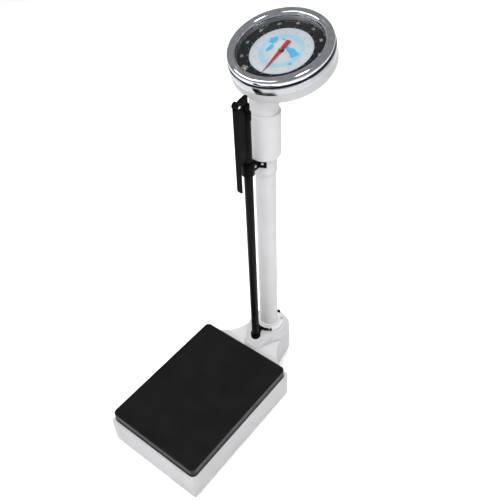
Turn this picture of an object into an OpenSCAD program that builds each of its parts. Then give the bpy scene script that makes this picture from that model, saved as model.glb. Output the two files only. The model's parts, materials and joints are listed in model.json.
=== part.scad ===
// Dial column scale for weighing a standing person, with a telescopic height rod.
// Origin on the floor under the middle of the whole scale; +Z up, the user steps on from -Y.
// Each piece is drawn from the platform's middle, and put() moves it to that origin.

/* [Platform] */
// Width of the platform
platform_w = 275; // [240:5:330]
// Length of the platform, front to back
platform_l = 375; // [320:5:450]
// Corner radius of the platform
platform_r = 13; // [6:1:25]
// Height of the standing surface above the floor
platform_top = 114.5; // [111:0.5:130]
// Thickness of the rubber mat
mat_t = 3.5; // [2:0.5:8]
// Depth of the platform skirt below the mat
skirt_h = 35; // [28:1:40]
// Downward travel of the platform at full load
platform_travel = 3; // [2:0.5:4]

/* [Base] */
// Height of the top of the housing above the floor
base_top = 88; // [84:1:96]
// Sheet thickness of the housing
base_wall = 1.7; // [1.2:0.1:3]
// Gap between the platform skirt and the housing
skirt_gap = 1; // [0.5:0.1:3]
// Width of the ledge in front of and behind the platform
ledge = 5.5; // [4:0.5:12]
// Height of the rubber feet under the box
foot_h = 6; // [4:1:12]
// Radius of a foot
foot_r = 12; // [8:1:18]
// Height of the underside of the neck and boss above the floor
neck_bottom = 16; // [14:1:20]
// Radius of the round boss under the column
boss_r = 59; // [54:1:70]
// Height of the flat pad on top of the boss
boss_top = 113; // [108:1:120]
// Wall of the neck and boss
boss_wall = 4; // [3:0.5:6]

/* [Column] */
// Distance from the platform's rear edge back to the column axis
column_gap = 109.5; // [100:0.5:140]
// Outer radius of the column tube
column_r = 24.4; // [20:0.2:28]
// Wall of the column tube
column_wall = 1.8; // [1.2:0.2:3]
// Outer radius of the collar at the top of the tube
collar_r = 27.3; // [26:0.1:32]
// Height of the collar's lower end
collar_z = 642; // [500:1:680]
// Outer radius of the sleeve that carries the head
sleeve_r = 36.8; // [32:0.2:42]
// Height of the sleeve's lower end
sleeve_z = 693; // [640:1:720]
// Length of the sleeve
sleeve_h = 111; // [90:1:140]

/* [Dial head] */
// Outer radius of the chrome bezel
bezel_r = 114.7; // [95:0.5:125]
// Radius of the rounded bezel section
bezel_tube = 10.2; // [8:0.2:13]
// Backward tilt of the dial from level
dial_tilt = 17.8; // [10:0.1:35]
// Distance from the column axis back to the dial's centre
dial_back = 58.8; // [45:0.1:70]
// Height of the middle of the bezel
dial_z = 925.7; // [915:0.1:960]
// Depth of the head behind the bezel's middle plane
head_depth = 47.9; // [44:0.1:60]
// Depth of the dial face behind the bezel's middle plane
face_depth = 12; // [10:0.5:14]
// Radius of the pale dial face inside the black number ring
face_r = 69.5; // [55:0.5:80]
// Turn of the pointer at full scale
dial_sweep = 342; // [300:1:350]

/* [Height rod] */
// Distance from the platform's rear edge back to the rod axis
rod_gap = 46.8; // [44:0.1:50]
// Outer radius of the fixed tube
rod_r = 10.3; // [9:0.1:11]
// Outer radius of the middle tube
mid_r = 7.6; // [7:0.1:8]
// Outer radius of the inner tube
inner_r = 4.6; // [4:0.1:5.6]
// Height of the top of the fixed tube's collar
rod_top = 830; // [700:5:834]
// Length of the headpiece arm from its pin
arm_l = 217; // [160:0.5:240]
// Width of the headpiece arm
arm_w = 14; // [12:0.5:18]

/* [Levers] */
// Height of the main lever's pivot
main_z = 46; // [44:1:50]
// Height of the short lever's pivot
short_z = 64; // [62:1:68]
// Distance from each lever's pivot line to the platform's middle
pivot_y = 150; // [130:1:165]
// Distance from the main lever's pivot to its load bearings
main_arm = 75; // [60:1:90]
// Distance from the short lever's pivot to its load bearings
short_arm = 50; // [40:1:60]

/* [Fits] */
// Radial clearance of a shaft that turns or slides
run = 0.05; // [0.02:0.01:0.1]
// Gap between pieces that move past each other
gap = 0.4; // [0.3:0.1:1]

/* [Hidden] */
$fn = 96;
eps = 0.01;

white = [0.86, 0.86, 0.87];
black = [0.11, 0.11, 0.11];
steel = [0.62, 0.63, 0.65];
chrome = [0.75, 0.76, 0.78];
brass = [0.80, 0.64, 0.32];

// Platform and housing outlines
open_w = platform_w + 2 * skirt_gap;
open_l = platform_l + 2 * skirt_gap;
base_w = open_w + 2 * base_wall;
base_l = open_l + 2 * ledge;
base_r = 3;
tray_top = platform_top - mat_t;
tray_t = 1.5;
plate_t = 1.5;
floor_z = foot_h + plate_t;
screw_rows = [26 - pivot_y, 0, pivot_y - 26];

// Column and rod behind the platform
column_y = platform_l / 2 + column_gap;
rod_y = platform_l / 2 + rod_gap;

// Neck between the box and the boss
neck_half = boss_r + 1;
neck_fillet = 99.3;
neck_end = column_y - 5;
neck_taper = 0.92;
pad_r = boss_r - 11;
boss_shoulder = base_top + 7;

// Column
flange_r = 40;
flange_hub_r = column_r + 3.6;
flange_t = 4;
screw_ring = flange_hub_r + 8.5;
front_screw = 38;
tube_foot = boss_top - 30;
tube_top = sleeve_z + 16;
sleeve_top = sleeve_z + sleeve_h;
sleeve_wall = 1.8;

// Head, in its own tilted frame: z = 0 on the bezel's middle plane, +z out of the dial
head_y = column_y + dial_back;
pan_r = bezel_r + 1.7;
pan_wall = 1.5;
skirt_front = -bezel_tube + 1.2;
pan_step = -27;
lens_r = bezel_r - 2 * bezel_tube + 2.4;
bezel_wall = 1.2;
plate_z = -face_depth - 2;
move_z = -33;
saddle_hole = column_r + 4;

// Middle of the whole scale, front to back
rear_y = head_y + pan_r * cos(dial_tilt) + (head_depth - 3) * sin(dial_tilt);
middle_y = (rear_y - base_l / 2) / 2;

// Pointer train
tip_travel = platform_travel * (pivot_y + column_y) / main_arm;
pitch_r = tip_travel / (dial_sweep * PI / 180);
teeth = 12;
tooth_pitch = 2 * PI * pitch_r / teeth;
shaft_r = 1.5;
rack_z = -22;
rack_t = 4;
crank_swing = 20.5;
crank_arm = tip_travel / (2 * sin(crank_swing));
crank_y = -50;
crank_z = -40;
crank_tip_z = dial_z + crank_y * sin(dial_tilt) + crank_z * cos(dial_tilt) + crank_arm * sin(crank_swing);
clevis_z = crank_tip_z - 33;

// Springs in the sleeve
hanger_z = sleeve_top - 16;
yoke_z = sleeve_z + 42;
spring_x = 19;
spring_r = 7;
pull_r = 3;

// Height rod
socket_z = boss_top - 7;
socket_r = rod_r + 3;
band_t = 3.5;
socket_top = boss_top + flange_t + band_t;
rod_wall = 1.1;
collar_h = 20;
cap_h = 18;
cap_z = rod_top + gap;
mid_top = cap_z + cap_h - 4;
mid_foot = socket_z + 14;
hinge_h = 18;
inner_top = cap_z + cap_h + gap + hinge_h;
inner_foot = mid_foot + 8;
mid_wall = 1;
inner_wall = 1;
clamp_r = rod_r + 4.5;
clamp_z = sleeve_z - 22;
clamp_h = 34;
strap_z = sleeve_z - 21;
strap_h = 20;
strap_t = 3;
web_t = 12;
strap_screw = 24;
strap_screw_z = strap_z + 0.6 * strap_h;
pinch_y = rod_y + 18.7;
fixing_r = 1.8;

// Headpiece
pin_y = rod_y - 28.3;
pin_z = inner_top - 10;
pin_r = 2;
knuckle_r = 6.3;
cheek_r = 8;
cheek_t = 1.6;
arm_front = pin_y - 5.5;
arm_t = 3.5;
arm_back = rod_y - rod_r - 0.9;
arm_end = pin_z - arm_l;
flange_end = clamp_z + clamp_h + 6;
block_w = arm_w - 2 * cheek_t - 2 * gap;

// Levers
arm_x = 112;
shaft_x = 126;
lever_t = 10;
lever_w = 9;
lever_shaft_r = 4;
neck_y = 200;
link_y = 30;
bearing_y = -pivot_y + main_arm;
rear_bearing_y = pivot_y - short_arm;
short_tip = link_y + 14;
bearing_x = cross_x(bearing_y);
rear_bearing_x = arm_x - (arm_x - 3) * short_arm / (pivot_y - short_tip);

// Zero adjuster
zero_y = column_y + 45;
zero_r = 6.5;
zero_floor = boss_top - 1.5;
zero_h = 3;
zero_stem = 4;
zero_neck = 3;

module rounded(w, l, r) {
    square([w - 2 * r, l], center = true);
    square([w, l - 2 * r], center = true);
    for (sx = [-1, 1], sy = [-1, 1])
        translate([sx * (w / 2 - r), sy * (l / 2 - r)]) circle(r);
}

module ring(r_out, r_in, h) {
    difference() {
        cylinder(r = r_out, h = h);
        translate([0, 0, -1]) cylinder(r = r_in, h = h + 2);
    }
}

// A straight bar of width w between two points of a flat outline
module bar(a, b, w) {
    d = b - a;
    translate(a) rotate(atan2(d[1], d[0])) translate([0, -w / 2]) square([norm(d), w]);
}

module put() { translate([0, -middle_y, 0]) children(); }
module at_column(z = 0) { translate([0, column_y, z]) children(); }
module at_rod(z = 0) { translate([0, rod_y, z]) children(); }
module at_head() { translate([0, head_y, dial_z]) rotate([dial_tilt, 0, 0]) children(); }

// Round-headed screw with its head on z = 0 and its shank below
module screw(r, h, shank_r, shank_l) {
    cylinder(r = r, h = h * 0.5);
    translate([0, 0, h * 0.5]) cylinder(r1 = r, r2 = r * 0.6, h = h * 0.5);
    translate([0, 0, -shank_l]) cylinder(r = shank_r, h = shank_l + eps);
}

// ---- Base ----
module neck_plan(inset, sides = 96) {
    difference() {
        translate([-(base_w / 2 - 8 - inset), base_l / 2 - 6])
            square([base_w - 16 - 2 * inset, neck_end + 5 - base_l / 2 + 6]);
        for (s = [-1, 1])
            translate([s * (neck_half + neck_fillet), neck_end])
                circle(neck_fillet + inset, $fn = sides);
    }
}

module neck_skirt(inset, top) {
    translate([0, 0, neck_bottom - (inset > 0 ? 1 : 0)])
        linear_extrude(height = top - neck_bottom, scale = [neck_taper, 1], slices = 1)
            neck_plan(inset, 64);
}

// Teardrop hood that carries the column pad and the foot of the height rod
module hood(inset) {
    hull() {
        at_column(base_top - 2) cylinder(r = boss_r - 2 - inset, h = 1, $fn = 64);
        translate([0, rod_y - 6, base_top - 2]) cylinder(r = 30 - inset, h = 1, $fn = 48);
        at_column(boss_top - 1 - inset) cylinder(r = pad_r - inset, h = 1, $fn = 64);
        translate([0, rod_y - 2, socket_z - 1 - inset]) cylinder(r = 16 - inset, h = 1, $fn = 48);
    }
}

module boss_solid(inset) {
    h = boss_shoulder - neck_bottom - inset;
    at_column(neck_bottom - (inset > 0 ? 1 : 0)) cylinder(r = boss_r - inset, h = h);
    at_column(neck_bottom + h - eps)
        cylinder(r1 = boss_r - inset, r2 = pad_r - inset, h = boss_top - boss_shoulder);
}

module base_housing() {
    color(white) difference() {
        union() {
            translate([0, 0, foot_h])
                linear_extrude(height = base_top - foot_h) rounded(base_w, base_l, base_r);
            neck_skirt(0, base_top);
            boss_solid(0);
            hood(0);
        }
        translate([0, 0, foot_h - 1])
            linear_extrude(height = base_top - foot_h - 1)
                rounded(open_w, base_l - 2 * base_wall, base_r);
        translate([0, 0, base_top - 4])
            linear_extrude(height = 10) rounded(open_w, open_l, platform_r + skirt_gap);
        neck_skirt(boss_wall, base_top - boss_wall);
        boss_solid(boss_wall);
        hood(boss_wall);
        at_column(base_top) cylinder(r = column_r + run, h = 60);
        at_rod(socket_z) cylinder(r = socket_r + run, h = 20);
        translate([0, zero_y, zero_floor]) cylinder(r = zero_r + 1, h = 20);
        translate([0, zero_y, base_top]) cylinder(r = zero_stem + run, h = 40);
    }
}

module bottom_plate() {
    color(steel) translate([0, 0, foot_h]) difference() {
        linear_extrude(height = plate_t)
            rounded(open_w - 0.2, base_l - 2 * base_wall - 0.2, base_r);
        for (x = [-1, 1], y = screw_rows)
            translate([x * (open_w / 2 - 12), y, -1]) cylinder(r = 1.6, h = 4);
    }
}

module neck_cover() {
    color(steel) translate([0, 0, neck_bottom]) linear_extrude(height = plate_t) {
        intersection() {
            neck_plan(boss_wall + 0.2);
            translate([-200, base_l / 2 + 0.2]) square([400, 200]);
        }
        at_column() circle(boss_r - boss_wall - 0.2);
    }
}

module feet() {
    color(black) {
        for (x = [-1, 1], y = [-1, 1])
            translate([x * (base_w / 2 - 22), y * (base_l / 2 - 26), 0]) foot(foot_h);
        translate([0, column_y + 22, 0]) foot(neck_bottom);
    }
}

module foot(h) {
    cylinder(r1 = foot_r - 1.5, r2 = foot_r, h = 1.5);
    translate([0, 0, 1.5]) cylinder(r = foot_r, h = h - 1.5);
}

module bottom_screws() {
    color(steel) for (x = [-1, 1], y = screw_rows)
        translate([x * (open_w / 2 - 12), y, foot_h])
            rotate([180, 0, 0]) screw(3.4, 2.2, 1.6, 6);
}

// Pair of posts that hold a lever's cross shaft
module fulcrums(y, z) {
    color(steel) for (s = [-1, 1]) translate([s * (shaft_x - 5), y, 0]) difference() {
        union() {
            translate([-3, -9, floor_z]) cube([6, 18, z - floor_z]);
            translate([-3, 0, z]) rotate([0, 90, 0]) cylinder(r = 9, h = 6);
            translate([-7, -13, floor_z]) cube([14, 26, 2]);
        }
        translate([-8, 0, z]) rotate([0, 90, 0]) cylinder(r = lever_shaft_r + run, h = 16);
    }
}

module main_fulcrums() { fulcrums(-pivot_y, main_z); }
module short_fulcrums() { fulcrums(pivot_y, short_z); }

module zero_knob() {
    grooves = 24;
    edge = 1.5;
    color(black) translate([0, zero_y, zero_floor + gap]) difference() {
        union() {
            cylinder(r = zero_r, h = zero_h - edge);
            translate([0, 0, zero_h - edge]) cylinder(r1 = zero_r, r2 = zero_r - edge, h = edge);
        }
        for (i = [0 : grooves - 1]) rotate(i * 360 / grooves)
            translate([zero_r + 0.2, 0, -1]) cylinder(r = 0.6, h = zero_h + 2, $fn = 16);
        translate([0, 0, -1]) cylinder(r = zero_neck, h = zero_h - 1);
    }
}

module zero_screw() {
    foot = base_top - 18;
    color(steel) translate([0, zero_y, 0]) {
        translate([0, 0, zero_floor + gap]) cylinder(r = zero_neck, h = zero_h - 2);
        translate([0, 0, foot]) cylinder(r = zero_stem, h = zero_floor + gap - foot);
        translate([0, 0, foot - 2]) cylinder(r = zero_stem + 2, h = 2);
    }
}

// ---- Column ----
module column_flange() {
    color(white) difference() {
        at_column(boss_top) rotate_extrude() polygon([[0, 0], [flange_r, 0], [flange_r, flange_t - 1],
            [flange_r - 1, flange_t], [flange_hub_r + 5, flange_t], [flange_hub_r + 1, 7],
            [flange_hub_r, 9], [flange_hub_r, 13], [flange_hub_r - 1, 14], [0, 14]]);
        at_column(boss_top - 1) cylinder(r = column_r, h = 20);
        flange_holes(boss_top - 1);
        translate([0, zero_y, boss_top - 1]) cylinder(r = zero_r + 1, h = 20);
    }
}

module flange_holes(z) {
    for (a = [45, 135, front_screw - 90, -front_screw - 90]) at_column(z) rotate(a)
        translate([screw_ring, 0, 0]) cylinder(r = fixing_r, h = flange_t + band_t + 2);
}

module flange_screws() {
    color(steel) at_column(boss_top + flange_t) for (a = [45, 135]) rotate(a)
        translate([screw_ring, 0, 0]) screw(3.2, 2.2, fixing_r, flange_t);
}

module column_tube() {
    color(white) at_column(tube_foot) ring(column_r, column_r - column_wall, tube_top - tube_foot);
}

module column_collar() {
    top = sleeve_z + 10;
    color(white) at_column(collar_z) difference() {
        rotate_extrude() polygon([[0, 0], [column_r + 0.6, 0], [collar_r, 6], [collar_r, top - collar_z],
            [0, top - collar_z]]);
        translate([0, 0, -1]) cylinder(r = column_r, h = 200);
    }
}

module head_sleeve() {
    color(white) at_column(sleeve_z) difference() {
        rotate_extrude() polygon([[0, 0], [sleeve_r - 1, 0], [sleeve_r, 1], [sleeve_r, sleeve_h - 1],
            [sleeve_r - 1, sleeve_h], [0, sleeve_h]]);
        translate([0, 0, -1]) cylinder(r = collar_r, h = 10);
        translate([0, 0, 3]) cylinder(r = sleeve_r - sleeve_wall, h = sleeve_h);
    }
}

// Flared neck between the sleeve and the back of the head
module head_saddle() {
    foot = sleeve_top;
    color(white) difference() {
        at_column(foot - 12) rotate_extrude() polygon([[column_r + 4, 0],
            [sleeve_r - sleeve_wall, 0], [sleeve_r - sleeve_wall, 12], [sleeve_r - 4, 12.5],
            [sleeve_r - 4.5, 22], [sleeve_r - 2.8, 90], [column_r + 4, 90]]);
        at_head() translate([-200, -300, -head_depth]) cube([400, 400, 300]);
    }
}

// ---- Dial head ----
module head_pan() {
    color(white) at_head() difference() {
        rotate_extrude() polygon([[0, -head_depth], [pan_r - 3, -head_depth],
            [pan_r - 0.9, -head_depth + 0.9],
            [pan_r, -head_depth + 3], [pan_r, pan_step], [pan_r - 1.6, pan_step],
            [pan_r - 1.6, plate_z], [pan_r - 3.1, plate_z], [pan_r - 3.1, plate_z - 4],
            [pan_r - 5, plate_z - 6], [pan_r - 1.6 - pan_wall, plate_z - 8],
            [pan_r - 1.6 - pan_wall, -head_depth + pan_wall], [0, -head_depth + pan_wall]]);
        at_column_in_head() cylinder(r = saddle_hole, h = 400, center = true);
    }
}

// The vertical column axis, seen from the tilted frame of the head
module at_column_in_head() {
    rotate([-dial_tilt, 0, 0]) translate([0, -dial_back, 0]) children();
}

module bezel_skirt() {
    color(chrome) at_head() rotate_extrude()
        polygon([[pan_r - 1.58, pan_step], [pan_r - 0.2, pan_step], [pan_r - 0.2, skirt_front],
            [bezel_r - bezel_tube * 0.5, skirt_front + 1.2], [bezel_r - bezel_tube * 0.5, skirt_front],
            [pan_r - 1.58, skirt_front - 1.2]]);
}

module bezel_ring() {
    mid = bezel_r - bezel_tube;
    color(chrome) at_head() rotate_extrude() translate([mid, 0]) difference() {
        circle(bezel_tube);
        circle(bezel_tube - bezel_wall);
        translate([-bezel_tube * 0.6, -30]) square([30, 30 - bezel_tube * 0.72]);
        translate([-bezel_tube * 0.62, -30]) square([bezel_tube, 30 - bezel_tube * 0.5]);
        translate([-30, -30]) square([30 - bezel_tube * 0.62, 30 - bezel_tube * 0.3]);
    }
}

module lens_gasket() {
    color(black) at_head() rotate_extrude()
        polygon([[lens_r - 1, -face_depth], [lens_r + 3.6, -face_depth],
            [lens_r + 3.6, -face_depth + 5], [lens_r - 1, -face_depth + 5]]);
}

module dial_lens() {
    rim_z = -face_depth + 5;
    rise = 4;
    dome_r = (lens_r * lens_r + rise * rise) / (2 * rise);
    color([0.8, 0.9, 0.95, 0.3]) at_head() intersection() {
        translate([0, 0, rim_z]) cylinder(r = lens_r, h = 12);
        difference() {
            translate([0, 0, rim_z + 2 + rise - dome_r]) sphere(dome_r, $fn = 360);
            translate([0, 0, rim_z + rise - dome_r]) sphere(dome_r, $fn = 360);
        }
    }
}

module dial_plate() {
    color("white") at_head() translate([0, 0, plate_z]) difference() {
        cylinder(r = pan_r - 1.8, h = 1);
        translate([0, 0, -1]) cylinder(r = shaft_r + run, h = 4);
    }
}

module number_ring() {
    color(black) at_head() translate([0, 0, plate_z + 1]) ring(pan_r - 1.8, face_r, 1);
}

module movement_plate() {
    color(brass) at_head() translate([0, 0, move_z]) difference() {
        linear_extrude(height = 2) rounded(64, 50, 4);
        translate([0, 0, -1]) cylinder(r = shaft_r + run, h = 4);
    }
}

module movement_posts() {
    color(steel) at_head() for (x = [-26, 26], y = [-19, 19])
        translate([x, y, move_z + 2]) cylinder(r = 3, h = plate_z - move_z - 2);
}

module rack_guide() {
    color(brass) at_head() translate([0, 0, move_z + 2]) difference() {
        translate([pitch_r + 2.4, -16, 0]) cube([9, 32, 14]);
        translate([pitch_r, -20, rack_z - move_z - 2 - rack_t / 2 - gap])
            cube([6 + gap, 40, rack_t + 2 * gap]);
    }
}

// Forked bracket on the back of the head, for the bell crank's pin
module crank_bracket() {
    color(steel) at_head() difference() {
        for (s = [-1, 1]) translate([s * 5.5 - 1.5, crank_y - 5, -head_depth + pan_wall]) {
            cube([3, 24, 2]);
            cube([3, 10, crank_z + head_depth - pan_wall]);
            translate([0, 5, crank_z + head_depth - pan_wall]) rotate([0, 90, 0]) cylinder(r = 5, h = 3);
        }
        translate([-10, crank_y, crank_z]) rotate([0, 90, 0]) cylinder(r = 2 + run, h = 20);
    }
}

module bell_crank() {
    color(brass) at_head() translate([-2, crank_y, crank_z]) rotate([0, 90, 0])
        linear_extrude(height = 4) difference() {
            union() {
                circle(5);
                rotate(-90 - crank_swing - dial_tilt) translate([0, -2.5]) square([crank_arm, 5]);
                rotate(180 - crank_swing) translate([0, -2.5]) square([crank_arm, 5]);
            }
            circle(2);
        }
}

module crank_pin() {
    color(steel) at_head() translate([-7, crank_y, crank_z]) rotate([0, 90, 0]) cylinder(r = 2, h = 14);
}

module drive_rack() {
    count = ceil(tip_travel / tooth_pitch) + 5;
    root = pitch_r + 0.75;
    tail = crank_y + 6;
    color(brass) at_head() translate([0, 0, rack_z - rack_t / 2]) linear_extrude(height = rack_t) {
        translate([root, tail]) square([4.4, count * tooth_pitch - 2.5 * tooth_pitch - tail]);
        for (i = [-2 : count - 3]) translate([root + 0.1, (i + 0.5) * tooth_pitch])
            polygon([[0, -0.42], [0, 0.42], [-1, 0.18], [-1, -0.18]]);
    }
}

module pinion() {
    root = pitch_r - 0.75;
    color(brass) at_head() translate([0, 0, rack_z - 1.5]) linear_extrude(height = 3) difference() {
        union() {
            circle(root);
            for (i = [0 : teeth - 1]) rotate(i * 360 / teeth)
                polygon([[root - 0.3, -0.45], [root + 1, -0.2], [root + 1, 0.2], [root - 0.3, 0.45]]);
        }
        circle(shaft_r);
    }
}

module pointer_shaft() {
    color(steel) at_head() translate([0, 0, move_z - 1]) cylinder(r = shaft_r, h = 6.6 + plate_z - move_z);
}

module pointer_hub() {
    color(black) at_head() translate([0, 0, plate_z + 2.2]) difference() {
        union() {
            cylinder(r = 6.5, h = 0.8);
            cylinder(r = 3.4, h = 3);
        }
        translate([0, 0, -1]) cylinder(r = shaft_r, h = 6);
    }
}

// The blade points to the zero mark at the bottom of the dial
module pointer() {
    tip = face_r + 0.5;
    tail = 31;
    color([0.82, 0.14, 0.17]) at_head() translate([0, 0, plate_z + 3]) rotate(-90)
        linear_extrude(height = 0.6) difference() {
            polygon([[5, 4.4], [tip, 0.3], [tip, -0.3], [5, -4.4], [-5, -4.6], [1 - tail, -5.6], [-tail, 0],
                [1 - tail, 5.6], [-5, 4.6]]);
            circle(3.4);
        }
}

// ---- Mechanism in the sleeve ----
module spring_hanger() {
    color(steel) at_column(hanger_z) difference() {
        cylinder(r = sleeve_r - sleeve_wall, h = 3);
        translate([0, 0, -1]) cylinder(r = pull_r + 2, h = 5);
    }
}

module main_springs() {
    wire = 1.2;
    bottom = yoke_z + 5;
    turns = floor((hanger_z - bottom) / (2.6 * wire));
    step = (hanger_z - bottom) / turns;
    color(steel) for (s = [-1, 1]) at_column() translate([s * spring_x, 0, bottom])
        rotate_extrude() polygon(concat([for (i = [0 : turns]) each
            [[spring_r - 0.2, i * step], if (i < turns) [spring_r + wire, (i + 0.5) * step]]],
            [for (i = [turns : -1 : 0]) [spring_r - wire, i * step]]));
}

module spring_yoke() {
    color(steel) at_column(yoke_z) difference() {
        translate([-spring_x - 8, -7, 0]) cube([2 * spring_x + 16, 14, 5]);
        translate([0, 0, -1]) cylinder(r = pull_r, h = 8);
    }
}

module pull_rod() {
    color(steel) at_column(main_z + 11) cylinder(r = pull_r, h = clevis_z + 4 - main_z - 11);
}

// Stirrup at the lower end of the pull rod, round the tip of the main lever
module rod_hook() {
    h = lever_t + 8;
    color(steel) at_column(main_z) difference() {
        translate([-10, -4, -h / 2 - 1]) cube([20, 8, h + 10]);
        translate([-6.5, -10, -lever_t / 2 - 1]) cube([13, 20, lever_t + 4]);
        translate([0, 0, 11]) cylinder(r = pull_r, h = 20);
    }
}

module rod_clevis() {
    color(steel) at_column(clevis_z) difference() {
        translate([-5, -6, 0]) cube([10, 12, 36]);
        translate([-2.6, -10, 9]) cube([5.2, 20, 40]);
        translate([0, 0, -1]) cylinder(r = pull_r, h = 5);
    }
}

// ---- Platform ----
module platform_tray() {
    color(black) difference() {
        translate([0, 0, tray_top - skirt_h + mat_t])
            linear_extrude(height = skirt_h - mat_t)
                rounded(platform_w - 0.6, platform_l - 0.6, platform_r - 0.3);
        translate([0, 0, tray_top - skirt_h + mat_t - 1])
            linear_extrude(height = skirt_h - mat_t - tray_t + 1)
                rounded(platform_w - 0.6 - 2 * tray_t, platform_l - 0.6 - 2 * tray_t, platform_r - tray_t);
    }
}

module platform_mat() {
    color(black) translate([0, 0, tray_top]) soft_slab(platform_w, platform_l, platform_r, mat_t, 1.6);
}

// Slab with rounded corners of radius r and a top edge rounded over by edge
module soft_slab(w, l, r, h, edge) {
    hull() for (sx = [-1, 1], sy = [-1, 1]) translate([sx * (w / 2 - r), sy * (l / 2 - r), 0]) {
        cylinder(r = r, h = h - edge, $fn = 64);
        for (a = [22.5 : 22.5 : 90])
            cylinder(r = r - edge * (1 - cos(a)), h = h - edge + edge * sin(a), $fn = 64);
    }
}

module bearing_posts() {
    color(steel) for (s = [-1, 1]) {
        bearing(s * bearing_x, bearing_y, main_z + lever_t / 2 + gap);
        bearing(s * rear_bearing_x, rear_bearing_y, short_z + lever_t / 2 + gap);
    }
}

module bearing(x, y, z) {
    h = tray_top - tray_t - z;
    translate([x - 7, y - 3, z]) cube([14, 6, h]);
    translate([x - 12, y - 10, tray_top - tray_t - 2]) cube([24, 20, 2]);
}

// ---- Levers ----
module main_lever() {
    color(steel) translate([0, 0, main_z]) difference() {
        union() {
            translate([0, 0, -lever_t / 2]) linear_extrude(height = lever_t) {
                for (s = [-1, 1]) bar([s * arm_x, -pivot_y], [s * 8, neck_y], lever_w);
                bar([-cross_x(link_y), link_y], [cross_x(link_y), link_y], 8);
                bar([0, neck_y - 12], [0, column_y + 12], 11);
            }
            lever_bosses(-pivot_y);
        }
        lever_bore(-pivot_y);
    }
}

module lever_bosses(y) {
    for (s = [-1, 1]) translate([s * arm_x - 6, y, 0]) rotate([0, 90, 0]) cylinder(r = 8, h = 12);
}

module lever_bore(y) {
    translate([-200, y, 0]) rotate([0, 90, 0]) cylinder(r = lever_shaft_r, h = 400);
}

// Half width of the main lever's frame at a place along the platform
function cross_x(y) = arm_x - (arm_x - 8) * (y + pivot_y) / (neck_y + pivot_y);

module main_shaft() {
    color(steel) translate([-shaft_x, -pivot_y, main_z]) rotate([0, 90, 0])
        cylinder(r = lever_shaft_r, h = 2 * shaft_x);
}

// Stirrup that carries the short lever's tip on the main lever
module lever_shackle() {
    foot = main_z + lever_t / 2;
    top = short_z + lever_t / 2 + 1.2;
    color(steel) for (s = [-1, 1]) translate([s * 9.5 - 1.5, link_y - 4, foot]) cube([3, 8, top - foot]);
    color(steel) translate([-11, link_y - 4, top]) cube([22, 8, 2.5]);
}

module short_lever() {
    color(steel) translate([0, 0, short_z]) difference() {
        union() {
            translate([0, 0, -lever_t / 2]) linear_extrude(height = lever_t) {
                for (s = [-1, 1]) bar([s * arm_x, pivot_y], [s * 3, short_tip], lever_w);
                bar([0, link_y - 10], [0, short_tip + 8], 11);
            }
            lever_bosses(pivot_y);
        }
        lever_bore(pivot_y);
    }
}

module short_shaft() {
    color(steel) translate([-shaft_x, pivot_y, short_z]) rotate([0, 90, 0])
        cylinder(r = lever_shaft_r, h = 2 * shaft_x);
}

// ---- Height rod ----
module rod_socket() {
    band_in = flange_hub_r + 5.6;
    band_out = flange_r + 1;
    color(black) difference() {
        union() {
            at_rod(socket_z) cylinder(r = socket_r, h = socket_top - socket_z);
            translate([0, 0, socket_top - band_t]) linear_extrude(height = band_t) difference() {
                union() {
                    at_column() intersection() {
                        circle(band_out);
                        polygon([[0, 0], [-60, -52], [-60, -90], [60, -90], [60, -52]]);
                    }
                    translate([-7, rod_y]) square([14, column_y - rod_y - band_in]);
                }
                at_column() circle(band_in);
            }
        }
        at_rod(socket_z + 2) cylinder(r = rod_r, h = 40);
        flange_holes(boss_top);
    }
}

module socket_screws() {
    color(steel) for (s = [-1, 1]) at_column(socket_top) rotate(-90 + s * front_screw)
        translate([screw_ring, 0, 0]) screw(3, 2, fixing_r, band_t + flange_t);
}

module rod_clamp() {
    color(black) difference() {
        union() {
            at_rod(clamp_z) cylinder(r = clamp_r, h = clamp_h);
            translate([-web_t / 2, rod_y, strap_z])
                cube([web_t, column_y - rod_y - collar_r - 1, strap_h]);
            at_column(strap_z) intersection() {
                cylinder(r = collar_r + strap_t, h = strap_h);
                translate([0, 0, -1]) linear_extrude(height = strap_h + 2)
                    polygon([[0, 0], [-60, -64], [-60, -90], [60, -90], [60, -64]]);
            }
        }
        at_rod(clamp_z - 1) cylinder(r = rod_r, h = clamp_h + 2);
        at_column(strap_z - 1) cylinder(r = collar_r, h = strap_h + 2);
        for (s = [-1, 1]) strap_screw_place(s) translate([0, 0, -8]) cylinder(r = fixing_r, h = 12);
        translate([-web_t, pinch_y, strap_screw_z]) rotate([0, 90, 0])
            cylinder(r = fixing_r, h = 2 * web_t);
    }
}

// Seat of one of the two screws that hold the strap on the collar
module strap_screw_place(s) {
    at_column(strap_screw_z) rotate(-90 + s * strap_screw)
        translate([collar_r + strap_t, 0, 0]) rotate([0, 90, 0]) children();
}

module clamp_screws() {
    color(steel) {
        for (s = [-1, 1]) strap_screw_place(s) screw(3.4, 2.2, fixing_r, strap_t);
        translate([web_t / 2, pinch_y, strap_screw_z]) rotate([0, 90, 0])
            screw(3.6, 2.4, fixing_r, web_t);
    }
}

module rod_tube() {
    color(black) at_rod(socket_z + 2) ring(rod_r, rod_r - rod_wall, rod_top - 4 - socket_z - 2);
}

module rod_collar() {
    color(black) at_rod(rod_top - collar_h) difference() {
        rotate_extrude() polygon([[0, 0], [rod_r + 1, 0], [rod_r + 1.5, 0.8],
            [rod_r + 1.5, collar_h - 0.8], [rod_r + 0.7, collar_h], [0, collar_h]]);
        translate([0, 0, -1]) cylinder(r = rod_r, h = collar_h - 3);
        translate([0, 0, -1]) cylinder(r = mid_r + run, h = collar_h + 2);
    }
}

module middle_tube() {
    color(black) at_rod(mid_foot) ring(mid_r, mid_r - mid_wall, mid_top - mid_foot);
}

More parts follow.
